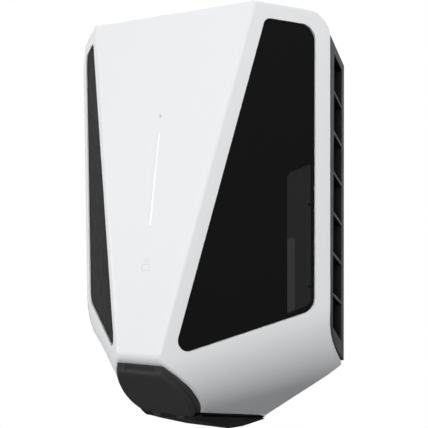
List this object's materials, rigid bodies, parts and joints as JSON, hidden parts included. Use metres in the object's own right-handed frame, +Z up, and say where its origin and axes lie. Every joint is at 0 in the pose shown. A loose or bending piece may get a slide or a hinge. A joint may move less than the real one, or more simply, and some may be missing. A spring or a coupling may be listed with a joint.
{
  "type": "EV wallbox",
  "caption": "Wall-mounted car charging box: white faceted cover with dark side windows, light strip, and a sprung lid over an inclined charging socket.",
  "frame": {"origin": "on the wall plane, in the middle of the four wall screw holes", "axes": "+X to the right seen from the front, +Y back into the wall, +Z up; the front faces -Y"},
  "size_m": [0.1982, 0.1101, 0.2825],
  "materials": {
    "cover_white": "fine satin moulded surface",
    "panel_black": "smooth satin",
    "light_white": "frosted translucent",
    "lens_grey": "smooth",
    "label_dark": "satin film",
    "label_grey": "satin film",
    "tray_grey": "fine grain",
    "chin_dark": "fine grain",
    "socket_black": "smooth",
    "contact_silver": "silver plated",
    "steel": "zinc plated",
    "rubber_black": "matt",
    "board_green": "solder mask",
    "parts_dark": "moulded",
    "terminal_grey": "moulded"
  },
  "bodies": {
    "box": {"front_cover": "cover_white", "core_housing": "panel_black", "light_guide": "light_white", "status_lens": "lens_grey", "rating_plate": "label_dark", "code_field": "label_grey", "back_plate": "tray_grey", "core_back": "tray_grey", "skirt": "chin_dark", "socket_body": "socket_black", "contact_base": "socket_black", "contact_tower": "socket_black", "socket_contacts": "contact_silver", "contact_blades": "contact_silver", "core_screws": "steel", "terminal_screws": "steel", "socket_screws": "steel", "skirt_screws": "steel", "hinge_pin": "steel", "flap_spring": "steel", "cable_grommet": "rubber_black", "main_board": "board_green", "led_board": "board_green", "antenna_board": "board_green", "relays": "parts_dark", "power_supply": "parts_dark", "leakage_sensor": "parts_dark", "capacitors": "parts_dark", "terminal_block": "terminal_grey", "lock_actuator": "terminal_grey"},
    "flap": {"socket_flap": "chin_dark", "flap_seal": "rubber_black"},
    "lock": {"lock_pin": "steel"}
  },
  "joints": [
    {"name": "flap_hinge", "type": "hinge", "parent": "box", "child": "flap", "pos_m": [0, -0.06926, -0.14344], "axis": [1, 0, 0], "range_deg": [0, 110], "stiffness_Nm_per_rad": 0.01, "springref_deg": -85.94},
    {"name": "lock_slide", "type": "slide", "parent": "box", "child": "lock", "axis": [-1, 0, 0], "range_m": [0, 0.005]}
  ]
}
